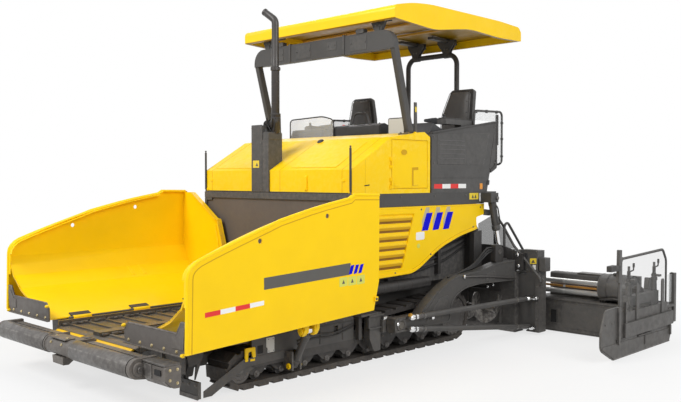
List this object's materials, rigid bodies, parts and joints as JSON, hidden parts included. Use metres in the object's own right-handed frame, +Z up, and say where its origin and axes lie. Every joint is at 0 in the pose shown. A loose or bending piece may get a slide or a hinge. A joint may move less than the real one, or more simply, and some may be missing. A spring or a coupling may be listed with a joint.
{
  "type": "asphalt paver",
  "caption": "Full-size tracked asphalt paver with folding hopper wings, sliding operator stations, a canopy, augers and a telescopic screed that lifts and widens.",
  "frame": {"origin": "centre of the bounding box, on the ground", "axes": "+X the machine's left, +Y its rear, +Z up"},
  "size_m": [6.228, 6.448, 3.88],
  "materials": {
    "yellow_paint": "satin",
    "dark_grey_paint": "satin",
    "light_steel": "brushed",
    "bare_chrome": "polished",
    "black_rubber": "matte",
    "seat_cover": "matte",
    "engine_grey": "matte",
    "console_plastic": "matte"
  },
  "bodies": {
    "chassis": {"main_frame": "dark_grey_paint", "conveyor_floor": "light_steel", "bulkhead": "dark_grey_paint", "engine_block": "engine_grey", "hood": "yellow_paint", "exhaust_box": "dark_grey_paint", "exhaust_stack": "dark_grey_paint", "side_panels": "yellow_paint", "platform": "dark_grey_paint", "control_console": "console_plastic", "canopy": "yellow_paint", "canopy_frame": "dark_grey_paint", "track_frames": "dark_grey_paint", "track_left": "black_rubber", "track_right": "black_rubber", "auger_frame": "dark_grey_paint"},
    "push_beam": {"push_beam": "dark_grey_paint"},
    "screed": {"tow_arms": "dark_grey_paint", "screed_base": "dark_grey_paint"},
    "push_roller_left": {"push_roller_left": "light_steel"},
    "hopper_wing_left": {"wing_left": "yellow_paint", "wing_flap_left": "dark_grey_paint"},
    "wing_cylinder_left": {"wing_cylinder_left": "yellow_paint"},
    "wing_rod_left": {"wing_rod_left": "bare_chrome"},
    "hood_door_left": {"hood_door_left": "yellow_paint"},
    "station_left": {"station_left": "dark_grey_paint", "seat_left": "seat_cover"},
    "auger_left": {"auger_left": "light_steel"},
    "lift_cylinder_left": {"lift_cylinder_left": "dark_grey_paint"},
    "lift_rod_left": {"lift_rod_left": "bare_chrome"},
    "extension_left": {"extension_left": "dark_grey_paint"},
    "end_gate_left": {"end_gate_left": "dark_grey_paint"},
    "push_roller_right": {"push_roller_right": "light_steel"},
    "hopper_wing_right": {"wing_right": "yellow_paint", "wing_flap_right": "dark_grey_paint"},
    "wing_cylinder_right": {"wing_cylinder_right": "yellow_paint"},
    "wing_rod_right": {"wing_rod_right": "bare_chrome"},
    "hood_door_right": {"hood_door_right": "yellow_paint"},
    "station_right": {"station_right": "dark_grey_paint", "seat_right": "seat_cover"},
    "auger_right": {"auger_right": "light_steel"},
    "lift_cylinder_right": {"lift_cylinder_right": "dark_grey_paint"},
    "lift_rod_right": {"lift_rod_right": "bare_chrome"},
    "extension_right": {"extension_right": "dark_grey_paint"},
    "end_gate_right": {"end_gate_right": "dark_grey_paint"}
  },
  "joints": [
    {"name": "push_beam_swing", "type": "hinge", "parent": "chassis", "child": "push_beam", "pos_m": [0, -2.916, 0.39], "axis": [0, 0, 1], "range_deg": [-6, 6]},
    {"name": "screed_lift", "type": "hinge", "parent": "chassis", "child": "screed", "pos_m": [0, -0.136, 0.385], "axis": [1, 0, 0], "range_deg": [0, 9]},
    {"name": "push_roller_spin_left", "type": "hinge", "parent": "push_beam", "child": "push_roller_left", "pos_m": [0.725, -3.136, 0.39], "axis": [1, 0, 0], "continuous": true},
    {"name": "wing_fold_left", "type": "hinge", "parent": "chassis", "child": "hopper_wing_left", "pos_m": [0.78, -1.836, 0.5], "axis": [0, -1, 0], "range_deg": [0, 30]},
    {"name": "wing_cylinder_swing_left", "type": "hinge", "parent": "chassis", "child": "wing_cylinder_left", "pos_m": [1.29, -1.466, 0.15], "axis": [0, -1, 0], "range_deg": [0, 21.3]},
    {"name": "wing_rod_stroke_left", "type": "slide", "parent": "wing_cylinder_left", "child": "wing_rod_left", "axis": [0.4805, 0, 0.877], "range_m": [0, 0.3104]},
    {"name": "hood_door_swing_left", "type": "hinge", "parent": "chassis", "child": "hood_door_left", "pos_m": [1.258, -0.003, 1.98], "axis": [0, 0, -1], "range_deg": [0, 95]},
    {"name": "station_shift_left", "type": "slide", "parent": "chassis", "child": "station_left", "axis": [1, 0, 0], "range_m": [0, 0.3]},
    {"name": "auger_spin_left", "type": "hinge", "parent": "chassis", "child": "auger_left", "pos_m": [0.75, 1.729, 0.33], "axis": [1, 0, 0], "continuous": true},
    {"name": "lift_cylinder_swing_left", "type": "hinge", "parent": "chassis", "child": "lift_cylinder_left", "pos_m": [1.325, 1.784, 1.68], "axis": [1, 0, 0], "range_deg": [-2, 0]},
    {"name": "lift_rod_stroke_left", "type": "slide", "parent": "lift_cylinder_left", "child": "lift_rod_left", "axis": [0, -0.2715, 0.9624], "range_m": [0, 0.3469]},
    {"name": "extension_slide_left", "type": "slide", "parent": "screed", "child": "extension_left", "axis": [-1, 0, 0], "range_m": [0, 1]},
    {"name": "end_gate_lift_left", "type": "slide", "parent": "extension_left", "child": "end_gate_left", "axis": [0, 0, 1], "range_m": [0, 0.15]},
    {"name": "push_roller_spin_right", "type": "hinge", "parent": "push_beam", "child": "push_roller_right", "pos_m": [-0.725, -3.136, 0.39], "axis": [1, 0, 0], "continuous": true},
    {"name": "wing_fold_right", "type": "hinge", "parent": "chassis", "child": "hopper_wing_right", "pos_m": [-0.78, -1.836, 0.5], "axis": [0, 1, 0], "range_deg": [0, 30]},
    {"name": "wing_cylinder_swing_right", "type": "hinge", "parent": "chassis", "child": "wing_cylinder_right", "pos_m": [-1.29, -1.466, 0.15], "axis": [0, 1, 0], "range_deg": [0, 21.3]},
    {"name": "wing_rod_stroke_right", "type": "slide", "parent": "wing_cylinder_right", "child": "wing_rod_right", "axis": [-0.4805, 0, 0.877], "range_m": [0, 0.3104]},
    {"name": "hood_door_swing_right", "type": "hinge", "parent": "chassis", "child": "hood_door_right", "pos_m": [-1.258, -0.003, 1.98], "axis": [0, 0, 1], "range_deg": [0, 95]},
    {"name": "station_shift_right", "type": "slide", "parent": "chassis", "child": "station_right", "axis": [-1, 0, 0], "range_m": [0, 0.3]},
    {"name": "auger_spin_right", "type": "hinge", "parent": "chassis", "child": "auger_right", "pos_m": [-0.75, 1.729, 0.33], "axis": [1, 0, 0], "continuous": true},
    {"name": "lift_cylinder_swing_right", "type": "hinge", "parent": "chassis", "child": "lift_cylinder_right", "pos_m": [-1.325, 1.784, 1.68], "axis": [1, 0, 0], "range_deg": [-2, 0]},
    {"name": "lift_rod_stroke_right", "type": "slide", "parent": "lift_cylinder_right", "child": "lift_rod_right", "axis": [0, -0.2715, 0.9624], "range_m": [0, 0.3469]},
    {"name": "extension_slide_right", "type": "slide", "parent": "screed", "child": "extension_right", "axis": [1, 0, 0], "range_m": [0, 1]},
    {"name": "end_gate_lift_right", "type": "slide", "parent": "extension_right", "child": "end_gate_right", "axis": [0, 0, 1], "range_m": [0, 0.15]}
  ],
  "couplings": [
    {"joint": "wing_cylinder_swing_left", "follows": "wing_fold_left", "ratio": 0.69989},
    {"joint": "wing_rod_stroke_left", "follows": "wing_fold_left", "m_per_rad": 0.58893},
    {"joint": "lift_cylinder_swing_left", "follows": "screed_lift", "ratio": -0.18794},
    {"joint": "lift_rod_stroke_left", "follows": "screed_lift", "m_per_rad": 2.1958},
    {"joint": "wing_cylinder_swing_right", "follows": "wing_fold_right", "ratio": 0.69989},
    {"joint": "wing_rod_stroke_right", "follows": "wing_fold_right", "m_per_rad": 0.58893},
    {"joint": "lift_cylinder_swing_right", "follows": "screed_lift", "ratio": -0.18794},
    {"joint": "lift_rod_stroke_right", "follows": "screed_lift", "m_per_rad": 2.1958}
  ]
}
